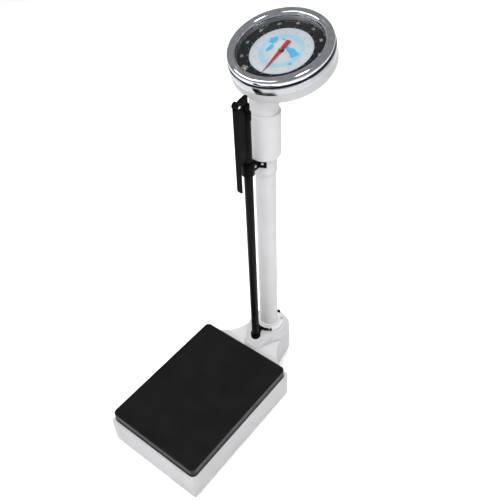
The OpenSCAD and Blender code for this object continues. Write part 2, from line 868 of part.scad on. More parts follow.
module middle_cap() {
    cap_r = mid_r + 1.3;
    color(black) at_rod(cap_z) difference() {
        rotate_extrude() polygon([[0, 0], [cap_r, 0], [cap_r, cap_h - 1], [cap_r - 1, cap_h], [0, cap_h]]);
        translate([0, 0, -1]) cylinder(r = mid_r, h = cap_h - 3);
        translate([0, 0, -1]) cylinder(r = inner_r + run, h = cap_h + 2);
    }
}

// Bush on the foot of the middle tube, running inside the fixed tube
module middle_guide() {
    color("ivory") at_rod(mid_foot - 3) difference() {
        cylinder(r = rod_r - rod_wall - run, h = 15);
        translate([0, 0, 3]) cylinder(r = mid_r, h = 15);
        translate([0, 0, -1]) cylinder(r = mid_r - mid_wall - 1, h = 15);
    }
}

module inner_tube() {
    color(black) at_rod(inner_foot) {
        ring(inner_r, inner_r - inner_wall, inner_top - 12 - inner_foot);
        ring(mid_r - mid_wall - run, inner_r - inner_wall, 14);
    }
}

module hinge_block() {
    color(black) difference() {
        union() {
            at_rod(inner_top - hinge_h) cylinder(r = inner_r + 0.9, h = hinge_h - 1);
            at_rod(inner_top - 1) cylinder(r1 = inner_r + 0.9, r2 = inner_r - 0.6, h = 1);
            translate([-block_w / 2, 0, 0]) rotate([90, 0, 90]) linear_extrude(height = block_w)
                polygon([[pin_y, pin_z - knuckle_r], [rod_y - 3, pin_z - knuckle_r],
                    [rod_y - 3, inner_top - 1.5], [rod_y - 11, inner_top - 2.5],
                    [pin_y + 8, inner_top - 5.5],
                    [pin_y + 3, pin_z + 5.5], [pin_y, pin_z + knuckle_r]]);
            translate([-block_w / 2, pin_y, pin_z]) rotate([0, 90, 0])
                cylinder(r = knuckle_r, h = block_w);
        }
        translate([-20, pin_y, pin_z]) rotate([0, 90, 0]) cylinder(r = pin_r, h = 40);
        at_rod(inner_top - 30) cylinder(r = inner_r, h = 18);
    }
}

module hinge_pin() {
    half = arm_w / 2 + 0.2;
    color(chrome) translate([0, pin_y, pin_z]) rotate([0, 90, 0]) {
        translate([0, 0, -half]) cylinder(r = pin_r, h = 2 * half);
        translate([0, 0, half]) screw(3.6, 1.8, pin_r, 1);
        translate([0, 0, -half]) rotate([180, 0, 0]) screw(3.6, 1.8, pin_r, 1);
    }
}

// Channel-shaped arm that hangs in front of the rod and swings up over the user's head
module headpiece_arm() {
    difference() {
        color(black) union() {
            translate([-arm_w / 2, arm_front, arm_end + 5])
                cube([arm_w, arm_t, pin_z - cheek_r - 1 - arm_end - 5]);
            translate([-arm_w / 2, arm_front, arm_end]) rotate([-90, 0, 0]) linear_extrude(height = arm_t)
                polygon([[3, 0], [arm_w, 0], [arm_w, -5.5], [0, -5.5], [0, -3]]);
            for (s = [-1, 1]) translate([s * (arm_w - cheek_t) / 2 - cheek_t / 2, 0, 0])
                rotate([90, 0, 90]) linear_extrude(height = cheek_t) cheek();
        }
        translate([-20, pin_y, pin_z]) rotate([0, 90, 0]) cylinder(r = pin_r + run, h = 40);
    }
}

// Side wall of the arm, drawn in the YZ plane
module cheek() {
    polygon([[arm_front, pin_z], [arm_front, flange_end], [arm_front + arm_t, flange_end],
        [arm_back, flange_end + 14], [arm_back, pin_z - 26], [pin_y + cheek_r, pin_z]]);
    translate([pin_y, pin_z]) circle(cheek_r);
}

put() base_housing();
put() bottom_plate();
put() neck_cover();
put() feet();
put() bottom_screws();
put() main_fulcrums();
put() short_fulcrums();
put() column_flange();
put() flange_screws();
put() column_tube();
put() column_collar();
put() head_sleeve();
put() head_saddle();
put() head_pan();
put() bezel_skirt();
put() bezel_ring();
put() lens_gasket();
put() dial_lens();
put() dial_plate();
put() number_ring();
put() movement_plate();
put() movement_posts();
put() rack_guide();
put() crank_bracket();
put() spring_hanger();
put() main_springs();
put() rod_socket();
put() socket_screws();
put() rod_clamp();
put() clamp_screws();
put() rod_tube();
put() rod_collar();
put() platform_tray();
put() platform_mat();
put() bearing_posts();
put() main_lever();
put() main_shaft();
put() lever_shackle();
put() short_lever();
put() short_shaft();
put() pull_rod();
put() rod_hook();
put() spring_yoke();
put() rod_clevis();
put() bell_crank();
put() crank_pin();
put() drive_rack();
put() pointer();
put() pointer_hub();
put() pointer_shaft();
put() pinion();
put() zero_knob();
put() zero_screw();
put() middle_tube();
put() middle_cap();
put() middle_guide();
put() inner_tube();
put() hinge_block();
put() hinge_pin();
put() headpiece_arm();
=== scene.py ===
# %% [markdown]
# A dial column scale with a height rod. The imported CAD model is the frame: it says where every
# piece is and which pieces move together. This script gives each visible piece its finish, and
# builds finer pieces around that frame: turned chrome and painted parts, the printed dial, the
# moulded mat, screws with driver recesses and the height scale on the sliding tubes.

# %% Load the frame
import json
import math
import random

import bmesh
import bpy
from mathutils import Matrix, Vector


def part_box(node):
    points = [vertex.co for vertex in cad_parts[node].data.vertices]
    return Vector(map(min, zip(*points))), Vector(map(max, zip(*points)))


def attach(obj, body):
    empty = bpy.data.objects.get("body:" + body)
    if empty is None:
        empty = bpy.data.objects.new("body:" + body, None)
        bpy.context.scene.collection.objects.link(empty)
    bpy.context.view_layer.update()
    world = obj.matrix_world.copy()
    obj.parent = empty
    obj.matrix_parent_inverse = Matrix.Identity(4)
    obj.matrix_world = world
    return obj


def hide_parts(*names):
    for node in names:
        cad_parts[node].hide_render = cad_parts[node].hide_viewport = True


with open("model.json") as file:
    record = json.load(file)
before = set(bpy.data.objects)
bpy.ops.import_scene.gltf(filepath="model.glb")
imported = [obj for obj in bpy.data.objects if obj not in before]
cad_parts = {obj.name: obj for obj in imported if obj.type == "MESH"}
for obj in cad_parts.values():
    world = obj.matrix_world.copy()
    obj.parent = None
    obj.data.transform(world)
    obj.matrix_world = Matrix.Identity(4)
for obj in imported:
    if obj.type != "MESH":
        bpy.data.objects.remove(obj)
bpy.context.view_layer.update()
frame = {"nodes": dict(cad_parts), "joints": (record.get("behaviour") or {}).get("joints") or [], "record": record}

# %% [markdown]
# The camera stands at the user's right, above the dial, and looks down at the scale. Its place
# is set from the middle of the scale's floor, which is the frame's origin.

# %% Camera
AZIMUTH, ELEVATION, ROLL = (math.radians(a) for a in (39.961, 43.063, -2.757))
back = Vector((math.sin(AZIMUTH) * math.cos(ELEVATION), -math.cos(AZIMUTH) * math.cos(ELEVATION),
               math.sin(ELEVATION)))
level = Vector((math.cos(AZIMUTH), math.sin(AZIMUTH), 0))
tall = back.cross(level)
right = math.cos(ROLL) * level + math.sin(ROLL) * tall
up = math.cos(ROLL) * tall - math.sin(ROLL) * level
camera = bpy.data.objects.new("camera", bpy.data.cameras.new("camera"))
camera.matrix_world = Matrix((right, up, back)).transposed().to_4x4()
camera.location = (0.7462, -0.80638, 1.5302)
camera.data.lens = 46.434
camera.data.sensor_width = 36
camera.data.clip_end = 50
bpy.context.scene.collection.objects.link(camera)
bpy.context.scene.camera = camera
print("camera", tuple(round(c, 3) for c in camera.location))

# %% [markdown]
# The studio is a plain pale floor with soft lights round it. Chrome shows only what is around
# it, so the world is a dim grey, and the softboxes are the bright bars that it reflects.

# %% Studio
def area_light(name, place, size, power, aim=(0, 0, 0.45)):
    lamp = bpy.data.lights.new(name, "AREA")
    lamp.shape = "RECTANGLE"
    lamp.size, lamp.size_y = size
    lamp.energy = power
    holder = bpy.data.objects.new(name, lamp)
    holder.location = place
    holder.rotation_euler = (Vector(aim) - Vector(place)).to_track_quat("-Z", "Y").to_euler()
    bpy.context.scene.collection.objects.link(holder)
    return holder


# Three softboxes show in the chrome, and a small card glints on the lens.
area_light("long_softbox", (-1.9, -1.75, 2.15), (2.4, 0.7), 30, (0, 0.2, 0.93))
area_light("front_softbox", (-0.42, -1.95, 2.45), (1.7, 0.6), 14, (0, 0.2, 0.93))
area_light("small_softbox", (1.54, -0.64, 3.1), (0.9, 0.42), 20, (0, 0.2, 0.93))
area_light("lens_card", (-1.8, 0.67, 3.1), (0.16, 0.1), 0.16, (0, 0.2, 0.93))
# The rest only fill the shadows, and the chrome doesn't see them.
for name, place, size, power in (("right_fill", (2.6, 0.6, 2.2), (1.4, 1.8), 14),
                                 ("front_fill", (1.5, -1.7, 1.9), (1.2, 1.0), 21),
                                 ("rear_fill", (-1.2, 2.8, 2.8), (3.0, 1.4), 78),
                                 ("top_fill", (0.0, -0.2, 3.6), (2.8, 2.2), 84)):
    area_light(name, place, size, power).visible_glossy = False

world = bpy.data.worlds.new("studio")
bpy.context.scene.world = world
world.use_nodes = True
world.node_tree.nodes["Background"].inputs["Color"].default_value = (0.97, 0.98, 1.0, 1)
world.node_tree.nodes["Background"].inputs["Strength"].default_value = 0.31
bpy.context.scene.view_settings.view_transform = "Standard"

# %% [markdown]
# Finishes are written as sRGB hex, the way a paint chart gives them, and turned to the linear
# values that Blender works in. One helper adds any node with its settings and its links.

# %% Colour and node helpers
def linear(code):
    parts = [int(code[i:i + 2], 16) / 255 for i in (1, 3, 5)]
    return tuple(p / 12.92 if p <= 0.04045 else ((p + 0.055) / 1.055) ** 2.4 for p in parts) + (1,)


def add_node(tree, kind, links=None, **settings):
    node = tree.nodes.new(kind)
    for key, value in settings.items():
        if hasattr(node, key):
            setattr(node, key, value)
        else:
            node.inputs[key.replace("_", " ")].default_value = value
    for socket, source in (links or {}).items():
        tree.links.new(source, node.inputs[socket])
    return node


def new_material(name):
    material = bpy.data.materials.new(name)
    material.use_nodes = True
    tree = material.node_tree
    shader = tree.nodes["Principled BSDF"]
    place = add_node(tree, "ShaderNodeTexCoord").outputs["Object"]
    return material, tree, shader, place


def set_inputs(shader, **values):
    for key, value in values.items():
        shader.inputs[key.replace("_", " ")].default_value = value


def grain(tree, place, size_mm, detail=2.0, stretch=(1, 1, 1)):
    """Noise whose features are size_mm across, in object space."""
    mapping = add_node(tree, "ShaderNodeMapping", {"Vector": place}, Scale=stretch)
    return add_node(tree, "ShaderNodeTexNoise", {"Vector": mapping.outputs["Vector"]},
                    Scale=1000 / size_mm, Detail=detail, Roughness=0.55).outputs["Fac"]


def spread(tree, value, low, high):
    """A value from 0.3 to 0.7, as noise gives, spread from low to high."""
    return add_node(tree, "ShaderNodeMapRange", {"Value": value}, From_Min=0.3, From_Max=0.7,
                    To_Min=low, To_Max=high).outputs["Result"]


def two_tone(tree, shader, value, dark, light):
    mix = add_node(tree, "ShaderNodeMix", {"Factor": value}, data_type="RGBA")
    mix.inputs[6].default_value = linear(dark)
    mix.inputs[7].default_value = linear(light)
    tree.links.new(mix.outputs[2], shader.inputs["Base Color"])
    return mix


def bumps(tree, shader, value, height_mm, strength=1.0):
    bump = add_node(tree, "ShaderNodeBump", {"Height": value}, Distance=height_mm / 1000,
                    Strength=strength)
    tree.links.new(bump.outputs["Normal"], shader.inputs["Normal"])

# %% [markdown]
# Powder coat is baked polyester: a smooth satin skin with a faint orange peel about 2 mm
# across. Broad, very pale clouds of tone stop the large plain walls from looking computed.

# %% Powder coats
def powder_coat(name, dark, light, roughness, peel_mm=2.2, peel_height=0.012, specular=0.5):
    material, tree, shader, place = new_material(name)
    clouds = spread(tree, grain(tree, place, 90, 3), 0, 1)
    two_tone(tree, shader, clouds, dark, light)
    tree.links.new(spread(tree, grain(tree, place, 30), roughness - 0.05, roughness + 0.05),
                   shader.inputs["Roughness"])
    bumps(tree, shader, grain(tree, place, peel_mm), peel_height)
    set_inputs(shader, IOR=1.5, Specular_IOR_Level=specular)
    return material


# The column, collar and sleeve wear the base's white powder coat, painted lighter here as painted light: it stands
# in for the light that the head above keeps off them.
column_coat_lit = powder_coat("column_powder_coat_painted_light", "#c3c3c4", "#cbcbcc", 0.5, specular=0.02)
white_coat = powder_coat("white_powder_coat", "#b1b1b2", "#bbbbbc", 0.46, specular=0.08)
black_coat = powder_coat("black_satin_powder_coat", "#0b0b0c", "#111112", 0.36, 1.2, 0.01, 0.05)

# %% [markdown]
# Chrome plate on polished brass or steel is almost a mirror. What shows that it is metal is
# the softly uneven polish and a few hair-fine wiping marks.

# %% Metals
def bright_metal(name, dark, light, low, high, line_mm=0.5, stretch=(1, 1, 0.05), height=0.002):
    material, tree, shader, place = new_material(name)
    lines = grain(tree, place, line_mm, 3, stretch)
    two_tone(tree, shader, spread(tree, grain(tree, place, 14), 0, 1), dark, light)
    tree.links.new(spread(tree, lines, low, high), shader.inputs["Roughness"])
    bumps(tree, shader, lines, height)
    set_inputs(shader, Metallic=1.0)
    return material


chrome = bright_metal("polished_chrome_plate", "#c9cbd0", "#dcdee2", 0.08, 0.12, 3.0, (1, 1, 1), 0.00003)
zinc = bright_metal("zinc_plated_steel", "#cfd0d2", "#e4e5e6", 0.34, 0.48, 1.6, (1, 1, 1))
spun_chrome = bright_metal("spun_chrome_plate", "#a8aaae", "#b2b4b8", 0.14, 0.2, 3.0, (1, 1, 1), 0.0001)
mill_steel = bright_metal("mill_finish_steel", "#7b7d80", "#939597", 0.34, 0.5, 0.7, (0.06, 1, 1), 0.006)
ground_steel = bright_metal("ground_steel", "#a5a7aa", "#bdbfc2", 0.18, 0.3, 0.5, (1, 1, 0.05))
turned_brass = bright_metal("machined_brass", "#b08d45", "#c8a65c", 0.2, 0.34, 0.6, (1, 0.08, 1))

# %% [markdown]
# Rubber and moulded plastic scatter light from a fine grain. The mat's grain is about 1 mm,
# which is as fine as it can be and still show, with soft rubbed streaks left by feet.

# %% Rubber and plastic
def moulded(name, dark, light, roughness, grain_mm, height, specular=0.5, patches=40):
    material, tree, shader, place = new_material(name)
    two_tone(tree, shader, spread(tree, grain(tree, place, patches, 3), 0, 1), dark, light)
    tree.links.new(spread(tree, grain(tree, place, patches * 0.6), roughness - 0.07, roughness + 0.07),
                   shader.inputs["Roughness"])
    bumps(tree, shader, grain(tree, place, grain_mm), height)
    set_inputs(shader, IOR=1.5, Specular_IOR_Level=specular)
    return material


mat_rubber = moulded("moulded_mat_rubber", "#080808", "#0f0f0f", 0.4, 1.0, 0.03, 0.24, 60)
foot_rubber = moulded("moulded_foot_rubber", "#101010", "#171717", 0.62, 1.2, 0.05, 0.25)
black_plastic = moulded("moulded_black_abs", "#060607", "#0b0b0c", 0.42, 0.8, 0.02, 0.03)
ivory_plastic = moulded("moulded_acetal", "#d8d2bd", "#e4dfcc", 0.4, 0.8, 0.01)

# %% [markdown]
# Printing on the dial is enamel ink on a painted steel plate. Each ink is the same moulded
# finish with its own colour, and a very small grain.

# %% Inks
dial_white = moulded("dial_white_enamel", "#9b9ea0", "#a4a7a9", 0.4, 3.0, 0.004, 0.3)
dial_black = moulded("dial_black_enamel", "#060607", "#0a0a0b", 0.4, 2.0, 0.004, 0.05)
ink_white = moulded("ink_white", "#8f9193", "#9a9c9e", 0.5, 2.0, 0.002)
ink_sky = moulded("ink_sky_blue", "#2f84ac", "#3e90b7", 0.5, 2.0, 0.002, 0.5, 9)
ink_pale = moulded("ink_pale_blue", "#7a99a7", "#86a4b1", 0.5, 2.0, 0.002)
ink_grey = moulded("ink_grey", "#7d868b", "#8b9398", 0.5, 2.0, 0.002)
ink_red = moulded("ink_red", "#b04a58", "#bc5663", 0.5, 2.0, 0.002)
pointer_red = moulded("red_lacquered_aluminium", "#8c0f19", "#98151f", 0.34, 1.5, 0.004)
satin_metal = bright_metal("satin_aluminium", "#c6c8ca", "#d4d6d8", 0.3, 0.45, 1.0, (1, 1, 1))
tan_brass = bright_metal("hub_brass", "#c39a62", "#d7b078", 0.25, 0.35, 1.0, (1, 1, 1))

# %% [markdown]
# The lens is domed window glass. It mixes a clear pass-through with a mirror-like sheen
# that grows towards a grazing view, so it lets the lights reach the dial and still shows them on its dome.

# %% Glass
lens_glass = bpy.data.materials.new("domed_window_glass")
lens_glass.use_nodes = True
glass_tree = lens_glass.node_tree
glass_tree.nodes.remove(glass_tree.nodes["Principled BSDF"])
clear = add_node(glass_tree, "ShaderNodeBsdfTransparent", Color=(0.98, 0.99, 0.99, 1))
gloss = add_node(glass_tree, "ShaderNodeBsdfGlossy", Roughness=0.02, Color=(1, 1, 1, 1))
facing = add_node(glass_tree, "ShaderNodeLayerWeight", Blend=0.5).outputs["Facing"]
edge_on = add_node(glass_tree, "ShaderNodeMath", {0: facing}, operation="POWER")
edge_on.inputs[1].default_value = 4
sheen = add_node(glass_tree, "ShaderNodeMapRange", {"Value": edge_on.outputs[0]}, To_Min=0.022, To_Max=0.7)
glass_mix = add_node(glass_tree, "ShaderNodeMixShader",
                     {0: sheen.outputs[0], 1: clear.outputs[0], 2: gloss.outputs[0]})
glass_tree.links.new(glass_mix.outputs[0], glass_tree.nodes["Material Output"].inputs["Surface"])

# %% [markdown]
# Each CAD node that stays visible takes the finish of its slot in the record.

# %% Finishes for the CAD nodes
FINISH = {"base_paint": white_coat, "column_paint": column_coat_lit, "head_paint": white_coat,
          "chrome": chrome, "lens_glass": lens_glass, "dial_white": dial_white,
          "dial_black": dial_black, "gasket_rubber": foot_rubber, "foot_rubber": foot_rubber,
          "mat_rubber": mat_rubber, "tray_paint": mat_rubber, "rod_paint": black_coat,
          "black_plastic": black_plastic, "arm_plastic": black_plastic, "bush_plastic": ivory_plastic,
          "screw_steel": zinc, "plate_steel": zinc, "lever_steel": mill_steel,
          "shaft_steel": ground_steel, "brass": turned_brass, "pointer_red": pointer_red,
          "hub_black": black_plastic}
slot_of = {part["node"]: part["material_slot"] for part in frame["record"]["subparts"]}
for name, node in frame["nodes"].items():
    node.data.materials.clear()
    node.data.materials.append(FINISH[slot_of[name]])
print(len(slot_of), "CAD nodes finished in", len(FINISH), "finishes")

# %% Floor
floor_mesh = bpy.data.meshes.new("studio_floor")
floor_mesh.from_pydata([(-30, -30, 0), (30, -30, 0), (30, 30, 0), (-30, 30, 0)], [], [(0, 1, 2, 3)])
floor = bpy.data.objects.new("studio_floor", floor_mesh)
bpy.context.scene.collection.objects.link(floor)
floor_paint, _, floor_shader, _ = new_material("pale_studio_floor")
set_inputs(floor_shader, Base_Color=linear("#fdfdfd"), Roughness=0.9)
floor_mesh.materials.append(floor_paint)


# %% [markdown]
# Every new piece is a mesh in the frame's own metres. One function links it, gives it its
# finish, makes it ride on its body, and hides the CAD nodes that it stands for.

# %% Placing pieces
MM = 0.001
ROUND = math.radians(32)


def place_piece(piece, body, finish, replaces=()):
    if not piece.users_collection:
        bpy.context.scene.collection.objects.link(piece)
    piece.data.materials.clear()
    piece.data.materials.append(finish)
    piece.data.shade_smooth()
    piece.data.set_sharp_from_angle(angle=ROUND)
    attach(piece, body)
    if replaces:
        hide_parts(*replaces)
    print(piece.name, len(piece.data.polygons), "faces on", body)
    return piece


def mesh_piece(name, verts, faces, place=Matrix.Identity(4)):
    mesh = bpy.data.meshes.new(name)
    mesh.from_pydata([tuple(Vector(v) * MM) for v in verts], [], faces)
    mesh.transform(place)
    work = bmesh.new()
    work.from_mesh(mesh)
    bmesh.ops.remove_doubles(work, verts=work.verts, dist=1e-7)
    bmesh.ops.recalc_face_normals(work, faces=work.faces)
    work.to_mesh(mesh)
    work.free()
    return bpy.data.objects.new(name, mesh)

# %% [markdown]
# Tubes, collars and the bezel were turned or spun on a lathe, so each is a closed outline
# swept round its axis. The outline's corners are rounded first, because a real edge is never
# knife-sharp and its small radius is what catches the light.

# %% Turning
def soften(outline, radius, steps=3):
    """The outline, with each corner replaced by a short curve of about that radius."""
    soft = []
    for i, corner in enumerate(outline):
        here = Vector(corner)
        before, after = Vector(outline[i - 1]), Vector(outline[(i + 1) % len(outline)])
        reach = min(radius, (before - here).length * 0.45, (after - here).length * 0.45)
        start = here + (before - here).normalized() * reach
        end = here + (after - here).normalized() * reach
        for k in range(steps + 1):
            t = k / steps
            soft.append(start * (1 - t) ** 2 + here * 2 * t * (1 - t) + end * t ** 2)
    return soft


def turned(name, outline, place, radius=0.4, sides=160):
    ring = soften(outline, radius) if radius else [Vector(p) for p in outline]
    verts, faces = [], []
    for j in range(sides):
        a = 2 * math.pi * j / sides
        verts += [(p[0] * math.cos(a), p[0] * math.sin(a), p[1]) for p in ring]
    n = len(ring)
    for j in range(sides):
        k = (j + 1) % sides
        faces += [(j * n + i, j * n + (i + 1) % n, k * n + (i + 1) % n, k * n + i) for i in range(n)]
    return mesh_piece(name, verts, faces, place)


def middle_of(node):
    low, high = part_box(node)
    return (low + high) / 2


def size_of(node):
    low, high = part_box(node)
    return (high - low) / MM

# %% [markdown]
# The column is a drawn steel tube with a collar that was flared at its lower end, and a wider
# sleeve round the spring unit on top of it. All are tubes with open ends, so each outline has
# an inner and an outer wall.

# %% Column, collar and sleeve
def tube(name, node, outline_of, body, finish, radius=0.4):
    """A turned tube in the place of a CAD node; outline_of(r, h) gives it from that node's size."""
    low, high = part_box(node)
    r, h = (high.x - low.x) / 2 / MM, (high.z - low.z) / MM
    foot = Matrix.Translation(((low.x + high.x) / 2, (low.y + high.y) / 2, low.z))
    piece = turned(name, outline_of(r, h), foot, radius)
    return place_piece(piece, body, finish, [node])


COLUMN_WALL, SLEEVE_WALL, ROD_WALL = 1.8, 1.8, 1.1
column_r = size_of("column_tube").x / 2
tube("column_post", "column_tube",
     lambda r, h: [(r - COLUMN_WALL, 0), (r, 0), (r, h), (r - COLUMN_WALL, h)],
     "stand", column_coat_lit, 0.3)
tube("column_collar_ring", "column_collar",
     lambda r, h: [(column_r, 0), (column_r + 0.6, 0), (r, 6), (r, h), (column_r, h)],
     "stand", column_coat_lit, 0.9)
collar_r = size_of("column_collar").x / 2
tube("spring_sleeve", "head_sleeve",
     lambda r, h: [(collar_r, 0), (r, 0), (r, h), (r - SLEEVE_WALL, h), (r - SLEEVE_WALL, 3),
                   (collar_r, 3)],
     "stand", column_coat_lit, 1.0)

# %% [markdown]
# The height rod is three drawn tubes, one in the other, with a moulded collar on the fixed one
# and a cap on the middle one. They are thin, so only their rims show the wall.

# %% Height rod
rod_r = size_of("rod_tube").x / 2
tube("fixed_rod", "rod_tube", lambda r, h: [(r - ROD_WALL, 0), (r, 0), (r, h), (r - ROD_WALL, h)],
     "stand", black_coat, 0.25)
tube("middle_rod", "middle_tube", lambda r, h: [(r - 1, 0), (r, 0), (r, h), (r - 1, h)],
     "middle_tube", black_coat, 0.25)
middle_r = size_of("middle_tube").x / 2
tube("rod_top_collar", "rod_collar",
     lambda r, h: [(middle_r + 0.1, h), (middle_r + 0.1, h - 3), (rod_r, h - 3), (rod_r, 0),
                   (r - 0.5, 0), (r, 0.8), (r, h - 5), (r - 0.5, h - 4.4), (r - 0.5, h - 3.6),
                   (r, h - 3), (r, h - 0.8), (r - 0.8, h)],
     "stand", black_plastic, 0.3)
inner_r = 4.6
tube("middle_rod_cap", "middle_cap",
     lambda r, h: [(inner_r + 0.1, h), (inner_r + 0.1, h - 4), (middle_r, h - 4), (middle_r, 0), (r, 0),
                   (r, 3), (r - 0.4, 3.6), (r - 0.4, 4.4), (r, 5), (r, h - 1), (r - 1, h)],
     "middle_tube", black_plastic, 0.3)

# %% [markdown]
# The head is tilted. Its own frame stands on the pointer's hinge: z comes out of the dial, y
# points to the top of the dial, and 0 is 10 mm below the middle of the bezel's roll.

# %% Head frame
pointer_joint = next(j for j in frame["joints"] if j["name"] == "pointer_turn")
out_of_dial = -Vector(pointer_joint["axis"]).normalized()
to_the_top = out_of_dial.cross(Vector((1, 0, 0)))
HEAD = Matrix.Translation(Vector(pointer_joint["pos_m"])) @ Matrix(
    (Vector((1, 0, 0)), to_the_top, out_of_dial)).transposed().to_4x4()
BEZEL_Z = 10
bezel_r = size_of("bezel_ring").x / 2
skirt_r = size_of("bezel_skirt").x / 2
ROLL_R, ROLL_WALL = 10.2, 1.2
print("head frame at", tuple(round(c, 4) for c in HEAD.translation))

# %% [markdown]
# The bezel is a strip of brass rolled into a fat hollow bead, bent to a ring, polished and
# chromed. Its section is most of a circle, open at the back where it grips the lens and skirt.

# %% Bezel, skirt and painted shade ring
def arc(centre, radius, start, end, steps):
    return [(centre[0] + radius * math.cos(math.radians(start + (end - start) * k / steps)),
             centre[1] + radius * math.sin(math.radians(start + (end - start) * k / steps)))
            for k in range(steps + 1)]


roll = (bezel_r - ROLL_R, BEZEL_Z)
outline = arc(roll, ROLL_R, -58, 197, 40) + arc(roll, ROLL_R - ROLL_WALL, 197, -58, 40)
place_piece(turned("chrome_bezel_roll", outline, HEAD, 0, 224), "stand", chrome, ["bezel_ring"])
skirt_top = BEZEL_Z - ROLL_R + 1.2
skirt_foot = BEZEL_Z - 27
skirt_outline = [(skirt_r - 1.4, skirt_foot), (skirt_r, skirt_foot), (skirt_r, skirt_top - 0.6),
                 (bezel_r - 5, skirt_top), (bezel_r - 5, skirt_top - 1.4), (skirt_r - 1.4, skirt_top - 2)]
place_piece(turned("chrome_bezel_skirt", skirt_outline, HEAD, 0.8, 224), "stand", spun_chrome,
            ["bezel_skirt"])
# Painted shade: a thin ring of black rubber under the bead's outer edge darkens the groove between the bead and
# the skirt.
shade_ring_foot, shade_ring_top = skirt_top + 0.05, skirt_top + 0.8
shade_ring_outline = [(bezel_r - 4.6, shade_ring_foot), (bezel_r - 1, shade_ring_foot), (bezel_r - 1, shade_ring_top),
                (bezel_r - 3.2, shade_ring_top)]
place_piece(turned("bezel_seal", shade_ring_outline, HEAD, 0.2, 192), "stand", foot_rubber)

# %% [markdown]
# The mat is one moulding of black rubber, stretched over the top of the platform. Its edge
# rolls over in a soft curve that catches a thin line of light, and its foot-side face has a
# shallow raised border. It is built as rings of points that follow the rounded rectangle.

# %% Platform mat
def rounded_ring(w, l, r, z, steps=14):
    points = []
    for cx, cy, start in ((1, 1, 0), (-1, 1, 90), (-1, -1, 180), (1, -1, 270)):
        for k in range(steps + 1):
            a = math.radians(start + 90 * k / steps)
            points.append((cx * (w / 2 - r) + r * math.cos(a), cy * (l / 2 - r) + r * math.sin(a), z))
    return points


def ring_stack(name, rings, place):
    """A closed skin over a stack of equal rings, capped at both ends."""
    n = len(rings[0])
    verts = [p for ring in rings for p in ring]
    faces = [tuple(range(n))[::-1], tuple(range((len(rings) - 1) * n, len(rings) * n))]
    for j in range(len(rings) - 1):
        here, above = j * n, (j + 1) * n
        faces += [(here + i, here + (i + 1) % n, above + (i + 1) % n, above + i) for i in range(n)]
    return mesh_piece(name, verts, faces, place)


mat_low, mat_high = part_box("platform_mat")
mat = size_of("platform_mat")
CORNER, ROLL = 13, 2.6
rings = [rounded_ring(mat.x - 0.4, mat.y - 0.4, CORNER, 0)]
for k in range(8):
    a = math.radians(90 * k / 7)
    inset = ROLL * (1 - math.cos(a))
    rings.append(rounded_ring(mat.x - 2 * inset, mat.y - 2 * inset, CORNER - inset,
                              mat.z - ROLL * (1 - math.sin(a))))
for inset, drop in ((6, 0), (6.6, 0.12), (7.4, 0.45), (8.2, 0.5), (30, 0.5)):
    rings.append(rounded_ring(mat.x - 2 * inset, mat.y - 2 * inset, max(CORNER - inset, 5), mat.z - drop))
mat_centre = ((mat_low.x + mat_high.x) / 2, (mat_low.y + mat_high.y) / 2, mat_low.z)
place_piece(ring_stack("moulded_mat", rings, Matrix.Translation(mat_centre)), "platform", mat_rubber,
            ["platform_mat"])

# %% [markdown]
# Marks repeat, so Geometry Nodes set them out: the tree makes one point for each mark, turns
# its number into an angle or a height, and puts a small block there. Every fifth or tenth mark
# is longer. The result is realized and kept as a plain mesh, because the export drops instances.

# %% Geometry Nodes helpers
def new_tree(name, inputs):
    """An empty Geometry Nodes tree with named inputs: {name: (socket type, value)}."""
    tree = bpy.data.node_groups.new(name, "GeometryNodeTree")
    tree.interface.new_socket("Geometry", in_out="OUTPUT", socket_type="NodeSocketGeometry")
    for key, (kind, value) in inputs.items():
        socket = tree.interface.new_socket(key, in_out="INPUT", socket_type="NodeSocket" + kind)
        if value is not None:
            socket.default_value = value
    return tree, tree.nodes.new("NodeGroupInput").outputs


def maths(tree, operation, a, b=None):
    node = tree.nodes.new("ShaderNodeMath")
    node.operation = operation
    for i, value in enumerate((a, b)):
        if isinstance(value, (int, float)):
            node.inputs[i].default_value = value
        elif value is not None:
            tree.links.new(value, node.inputs[i])
    return node.outputs[0]


def join_xyz(tree, x=None, y=None, z=None):
    return add_node(tree, "ShaderNodeCombineXYZ",
                    {k: v for k, v in zip("XYZ", (x, y, z)) if v is not None}).outputs[0]


def end_tree(tree, geometry, finish):
    real = add_node(tree, "GeometryNodeRealizeInstances", {"Geometry": geometry})
    coat = add_node(tree, "GeometryNodeSetMaterial", {"Geometry": real.outputs[0]}, Material=finish)
    add_node(tree, "NodeGroupOutput", {"Geometry": coat.outputs[0]})


def grow(name, tree, values, place=Matrix.Identity(4)):
    """Run a tree with these inputs, and keep what it makes as a plain mesh object."""
    host = bpy.data.objects.new(name, bpy.data.meshes.new(name + "_seed"))
    bpy.context.scene.collection.objects.link(host)
    modifier = host.modifiers.new("grow", "NODES")
    modifier.node_group = tree
    for socket in tree.interface.items_tree:
        if socket.in_out == "INPUT" and socket.name in values:
            modifier[socket.identifier] = values[socket.name]
    graph = bpy.context.evaluated_depsgraph_get()
    made = bpy.data.meshes.new_from_object(host.evaluated_get(graph), depsgraph=graph)
    host.modifiers.remove(modifier)
    host.data = made
    made.transform(place)
    return host

